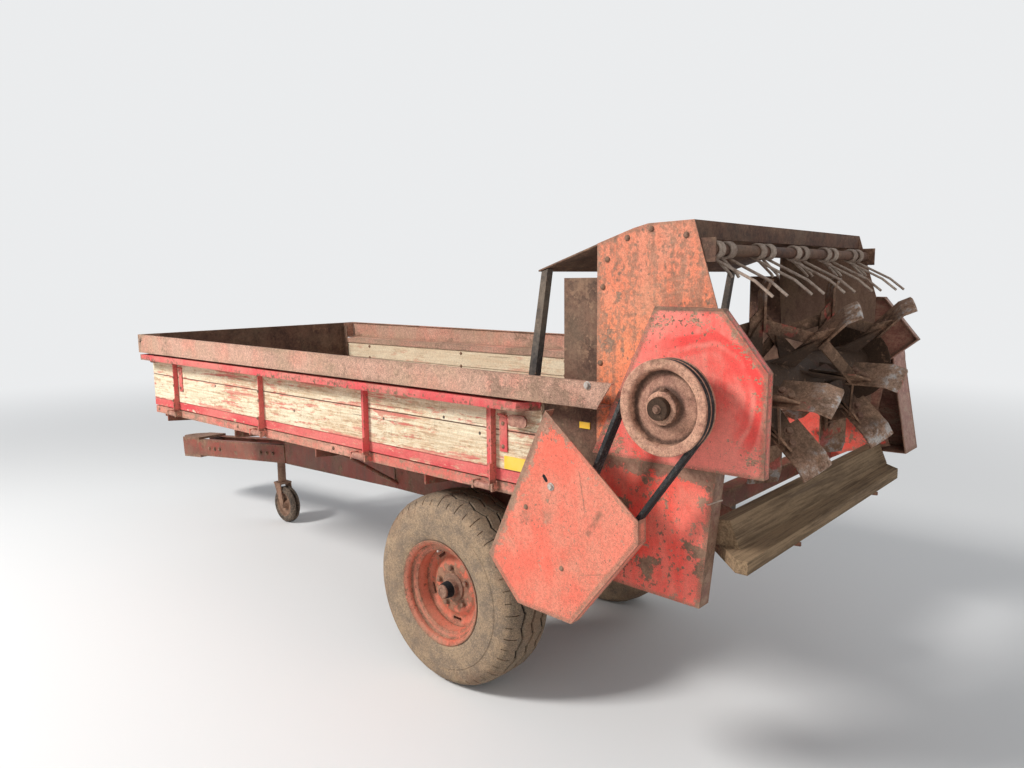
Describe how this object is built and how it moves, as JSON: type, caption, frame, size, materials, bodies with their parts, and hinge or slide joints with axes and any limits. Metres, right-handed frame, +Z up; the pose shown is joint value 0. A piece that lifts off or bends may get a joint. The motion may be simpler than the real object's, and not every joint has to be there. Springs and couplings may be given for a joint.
{
  "type": "manure spreader",
  "caption": "Single-axle farm spreader with wooden drop sides, floor conveyor and a rear paddle rotor driven by belts, standing on its jockey wheel.",
  "frame": {"origin": "on the ground, under the middle of the whole machine", "axes": "+Y the way it is towed, +X to its right, +Z up"},
  "size_m": [1.72, 4.7712, 1.741],
  "materials": {
    "frame_steel": "dull, rusty",
    "red_steel": "worn paint",
    "rim_sheet": "faded paint over rust",
    "orange_sheet": "faded paint over rust",
    "faded_sheet": "scratched paint",
    "brown_sheet": "dark, rusty",
    "bare_steel": "rusty and soiled",
    "cast_pulley": "rusty",
    "timber": "weathered",
    "belt_rubber": "dull",
    "tyre_rubber": "dusty",
    "wheel_steel": "worn paint",
    "yellow_plastic": "faded"
  },
  "bodies": {
    "chassis": {"stringers": "frame_steel", "cross_members": "frame_steel", "side_sills": "red_steel", "drawbar_beams": "frame_steel", "drawbar_nose": "frame_steel", "hitch_plates": "frame_steel", "axle": "bare_steel", "floor_boards": "timber", "conveyor": "bare_steel", "conveyor_shafts": "bare_steel", "front_wall": "brown_sheet", "rims": "rim_sheet", "extension_plates": "brown_sheet", "housing_plates": "orange_sheet", "bearing_panels": "red_steel", "lower_panels": "red_steel", "housing_roof": "brown_sheet", "hood_stays": "bare_steel", "tine_bar": "brown_sheet", "spring_tines": "bare_steel", "rear_beam": "frame_steel", "rear_boards": "timber", "gearbox": "bare_steel", "shaft_bearings": "bare_steel", "belt_guard": "faded_sheet", "right_guard": "red_steel", "belts": "belt_rubber", "jockey_sleeve": "bare_steel", "reflectors": "yellow_plastic"},
    "drop_side_left": {"side_boards_left": "timber", "side_steel_left": "red_steel", "side_reflector_left": "yellow_plastic"},
    "drop_side_right": {"side_boards_right": "timber", "side_steel_right": "red_steel", "side_reflector_right": "yellow_plastic"},
    "rotor": {"rotor_drum": "bare_steel", "rotor_paddles": "bare_steel", "rotor_pulley": "cast_pulley"},
    "drive_shaft": {"drive_shaft": "bare_steel"},
    "pto_shaft": {"pto_shaft": "bare_steel"},
    "road_wheel_left": {"tyre_left": "tyre_rubber", "wheel_left": "wheel_steel"},
    "road_wheel_right": {"tyre_right": "tyre_rubber", "wheel_right": "wheel_steel"},
    "jockey_leg": {"jockey_leg": "bare_steel"},
    "jockey_fork": {"jockey_fork": "frame_steel"},
    "jockey_wheel": {"jockey_wheel": "tyre_rubber"}
  },
  "joints": [
    {"name": "drop_side_left_hinge", "type": "hinge", "parent": "chassis", "child": "drop_side_left", "pos_m": [-0.69, -0.96462, 0.872], "axis": [0, -1, 0], "range_deg": [0, 90]},
    {"name": "drop_side_right_hinge", "type": "hinge", "parent": "chassis", "child": "drop_side_right", "pos_m": [0.69, -0.96462, 0.872], "axis": [0, 1, 0], "range_deg": [0, 165]},
    {"name": "rotor_spin", "type": "hinge", "parent": "chassis", "child": "rotor", "pos_m": [0, -2.05062, 1.243], "axis": [1, 0, 0], "continuous": true},
    {"name": "drive_shaft_spin", "type": "hinge", "parent": "chassis", "child": "drive_shaft", "pos_m": [-0.4, -1.73662, 0.694], "axis": [1, 0, 0], "continuous": true},
    {"name": "pto_shaft_spin", "type": "hinge", "parent": "chassis", "child": "pto_shaft", "pos_m": [0, -0.96462, 0.694], "axis": [0, 1, 0], "continuous": true},
    {"name": "road_wheel_left_spin", "type": "hinge", "parent": "chassis", "child": "road_wheel_left", "pos_m": [-0.52, -0.96462, 0.38], "axis": [1, 0, 0], "continuous": true},
    {"name": "road_wheel_right_spin", "type": "hinge", "parent": "chassis", "child": "road_wheel_right", "pos_m": [0.52, -0.96462, 0.38], "axis": [1, 0, 0], "continuous": true},
    {"name": "jockey_leg_slide", "type": "slide", "parent": "chassis", "child": "jockey_leg", "axis": [0, 0, 1], "range_m": [-0.12, 0.18]},
    {"name": "jockey_fork_swivel", "type": "hinge", "parent": "jockey_leg", "child": "jockey_fork", "pos_m": [0.15, 1.42038, 0.2], "axis": [0, 0, 1], "continuous": true},
    {"name": "jockey_wheel_spin", "type": "hinge", "parent": "jockey_fork", "child": "jockey_wheel", "pos_m": [0.15, 1.37038, 0.12], "axis": [1, 0, 0], "continuous": true}
  ],
  "couplings": [
    {"joint": "drive_shaft_spin", "follows": "rotor_spin", "ratio": 2.1282},
    {"joint": "pto_shaft_spin", "follows": "rotor_spin", "ratio": 2.1282}
  ]
}
